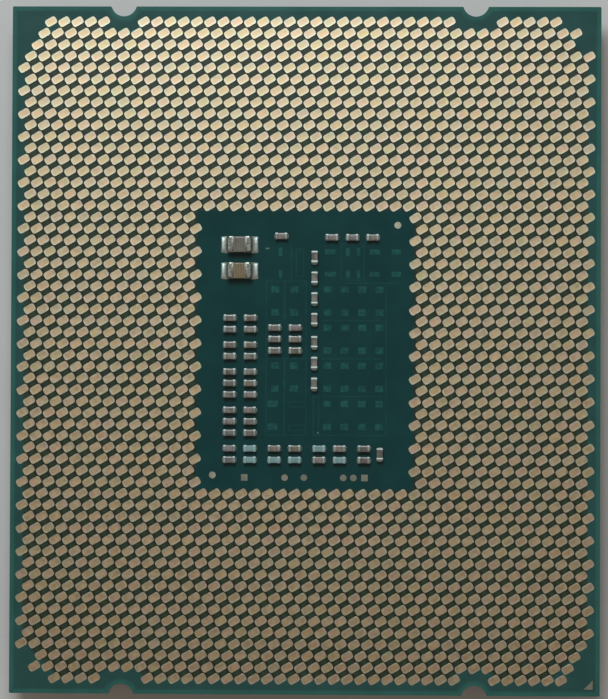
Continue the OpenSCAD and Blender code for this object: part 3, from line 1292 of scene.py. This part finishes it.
    def foot(self, bm: Form, joint: Box, axis: int, side: int, cap: Box) -> None:
        """Adds one solder foot: a meniscus against the metal end that runs out to a flat toe.

        Args:
            bm: Mesh that gets the foot.
            joint: Corners of the joint, in metres.
            axis: Axis that the foot runs along, 0 for X and 1 for Y.
            side: 1 where it runs to larger values, or -1.
            cap: Corners of the metal end, in metres.
        """
        low, high = joint
        start = (cap[0] if side < 0 else cap[1])[axis] - side * self.rounds[0] * MM
        reach = (low if side < 0 else high)[axis] - start
        across = 1 - axis
        half = (high[across] - low[across]) / 2
        centre = (high[across] + low[across]) / 2
        columns, rows = self.steps
        skin = bmesh.ops.create_grid(bm, x_segments=columns, y_segments=rows, size=1.0)["verts"]
        faces = list({face: None for vert in skin for face in vert.link_faces})
        grown = bmesh.ops.extrude_face_region(bm, geom=faces)["geom"]
        top = {g: None for g in grown if isinstance(g, bmesh.types.BMVert)}
        toe = self.toe * MM
        climb = high.z - low.z - toe
        narrowing, sides, front = self.powers
        for vert in [*skin, *top]:
            along, wide = (vert.co.x + 1) / 2, vert.co.y
            spot = Vector()
            spot[axis] = start + along * reach
            spot[across] = centre + wide * half * (1 - self.taper * along**narrowing)
            swell = max(0.0, 1 - abs(wide) ** sides) ** 0.5 * max(0.0, 1 - along**front) ** 0.5
            rise = climb * (1 - along) ** self.hollow + toe
            rise *= self.rim + (1 - self.rim) * swell
            spot.z = low.z + (rise if vert in top else -self.root * MM)
            vert.co = spot
        body = list({face: None for vert in [*skin, *top] for face in vert.link_faces})
        bmesh.ops.recalc_face_normals(bm, faces=body)


# The two large chips have softer edges and stand on long, flat joints
BULK: Mapping[str, Any] = {
    "metal": GRAINY_TIN,
    # Painted shade: the steep walls of the ends take a darker copy of the tin
    "wall": SHADED_WALL_TIN,
    "crown": (0.14, 0.1, 0.025),
    "rounds": (0.25, 0.16),
    "lap": 0.12,
    "toe": 0.1,
    "slim": 0.04,
    "hollow": 3.0,
    "taper": 0.1,
    "steps": (12, 12),
}
BANKS = (
    ChipBank("bulk_upper", CUT_CERAMIC, **BULK),
    ChipBank("bulk_lower", TAN_CERAMIC, **BULK),
    ChipBank("top_row", BROWN_CERAMIC),
    ChipBank("spine", GREY_CERAMIC),
    ChipBank("left_outer", GREY_CERAMIC),
    ChipBank("left_inner", BROWN_CERAMIC),
    ChipBank("middle", BROWN_CERAMIC),
    ChipBank("dark_base", BROWN_CERAMIC),
    ChipBank("pale_base", PALE_CERAMIC, metal=PALE_TIN, wall=PALE_TIN),
)


@dataclass
class HeatSpreader:
    """Stamped and plated lid.

    Attributes:
        edge: Radius that stamping and plating leave on the edges.
        steps: Faces across that round.
        crease: Angle in degrees from which an edge is rounded.
        flat: Angle in degrees up to which two faces become one.
    """

    edge: float = 0.12
    steps: int = 3
    crease: float = 30.0
    flat: float = 1.0

    def build(self, node: bpy.types.Object) -> bpy.types.Object:
        """Rounds the edges of the lid.

        Args:
            node: The lid in the frame.

        Returns:
            The lid as one piece.
        """
        bm = bmesh.new()
        bm.from_mesh(node.data)
        bmesh.ops.remove_doubles(bm, verts=bm.verts[:], dist=WELD)
        flat, crease = math.radians(self.flat), math.radians(self.crease)
        bmesh.ops.dissolve_limit(bm, angle_limit=flat, verts=bm.verts[:], edges=bm.edges[:])
        creases = [e for e in bm.edges if e.is_manifold and e.calc_face_angle() > crease]
        round_off(bm, creases, self.edge * MM, self.steps)
        return make_piece("lid", bm, (NICKEL,), [node.name])


@dataclass
class Studio:
    """Pale floor, one large soft light and the camera over the part.

    Attributes:
        camera_at: Place of the camera.
        camera_to: Point that it looks at.
        roll: Roll of the camera, in degrees.
        focal: Focal length over image height, both in pixels.
        sensor: Width of the sensor.
        sight: Nearest and farthest distance that the camera sees, in metres.
        light_at: Place of the soft light.
        light_size: Width of the soft light.
        light_power: Power of the soft light, in watts.
        light_tint: Colour of the soft light, a little cool.
        ambient: Strength of the light from all round.
        room: Colour of that light, warm from the room's walls.
        floor_size: Width of the floor.
        floor_steps: Faces along the floor.
        floor_gap: Room between the floor and the part.
    """

    camera_at: tuple[float, float, float] = (9.29, -6.4, 309.89)
    camera_to: tuple[float, float, float] = (-0.082, 0.045, 5.03)
    roll: float = 0.25
    focal: float = 4000 / 699
    sensor: float = 36.0
    sight: tuple[float, float] = (0.01, 10.0)
    light_at: tuple[float, float, float] = (-22.0, 130.0, 250.0)
    light_size: float = 110.0
    light_power: float = 0.297
    light_tint: str = "#f1fcff"
    ambient: float = 0.2
    room: str = "#ffe9d8"
    floor_size: float = 1500.0
    floor_steps: int = 8
    floor_gap: float = 0.01

    def build(self) -> None:
        """Makes the floor, the light, the world and the camera."""
        self.floor()
        self.light()
        self.camera()

    def floor(self) -> None:
        """Lays the floor just under the part."""
        bm = bmesh.new()
        steps, half = self.floor_steps, self.floor_size / 2 * MM
        bmesh.ops.create_grid(bm, x_segments=steps, y_segments=steps, size=half)
        bmesh.ops.translate(bm, vec=(0, 0, -self.floor_gap * MM), verts=bm.verts[:])
        mesh = bpy.data.meshes.new("floor")
        bm.to_mesh(mesh)
        bm.free()
        mesh.materials.append(FLOOR.material())
        floor = bpy.data.objects.new("floor", mesh)
        bpy.context.scene.collection.objects.link(floor)

    def light(self) -> None:
        """Hangs the soft light and sets the light from all round."""
        lamp = bpy.data.lights.new("soft_light", "AREA")
        lamp.shape = "DISK"
        lamp.size = self.light_size * MM
        lamp.energy = self.light_power
        lamp.color = linear(self.light_tint)[:3]
        holder = bpy.data.objects.new("soft_light", lamp)
        holder.location = Vector(self.light_at) * MM
        holder.rotation_mode = "QUATERNION"
        holder.rotation_quaternion = (-Vector(self.light_at)).to_track_quat("-Z", "Y")
        bpy.context.scene.collection.objects.link(holder)
        world = bpy.data.worlds.new("soft_room")
        world.use_nodes = True
        sky = world.node_tree.nodes["Background"].inputs
        sky["Color"].default_value = linear(self.room)
        sky["Strength"].default_value = self.ambient
        bpy.context.scene.world = world
        bpy.context.scene.view_settings.view_transform = "Standard"

    def camera(self) -> None:
        """Sets the camera over the part."""
        lens = bpy.data.cameras.new("camera")
        lens.sensor_width = self.sensor
        lens.lens = self.focal * self.sensor
        lens.clip_start, lens.clip_end = self.sight
        camera = bpy.data.objects.new("camera", lens)
        camera.location = Vector(self.camera_at) * MM
        back = (Vector(self.camera_at) - Vector(self.camera_to)).normalized()
        right = Vector((0, 1, 0)).cross(back).normalized()
        axes = Matrix((right, back.cross(right), back)).transposed()
        camera.rotation_mode = "QUATERNION"
        roll = Quaternion((0, 0, 1), math.radians(self.roll))
        camera.rotation_quaternion = axes.to_quaternion() @ roll
        bpy.context.scene.collection.objects.link(camera)
        bpy.context.scene.camera = camera


def main() -> None:
    """Builds the part's looks around the frame and sets the scene."""
    logging.basicConfig(level=logging.INFO, format="%(name)s %(message)s")
    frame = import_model()
    nodes = frame["nodes"]
    dress_node(nodes["package_board"], MASK)
    for field in Field:
        LandField(field).build(nodes[field.value])
    dress_node(nodes["fiducials"], MARK)
    for name in ("probe_pads", "index_mark"):
        dress_node(nodes[name], PAD)
    for bank in BANKS:
        bank.build(nodes)
    HeatSpreader().build(nodes["heat_spreader"])
    hidden = {
        "lid_seal": ADHESIVE,
        "silicon_die": SILICON,
        "thermal_solder": INDIUM,
        "underfill": RESIN,
    }
    for name, finish in hidden.items():
        dress_node(nodes[name], finish)
    Studio().build()


if __name__ == "__main__":
    main()
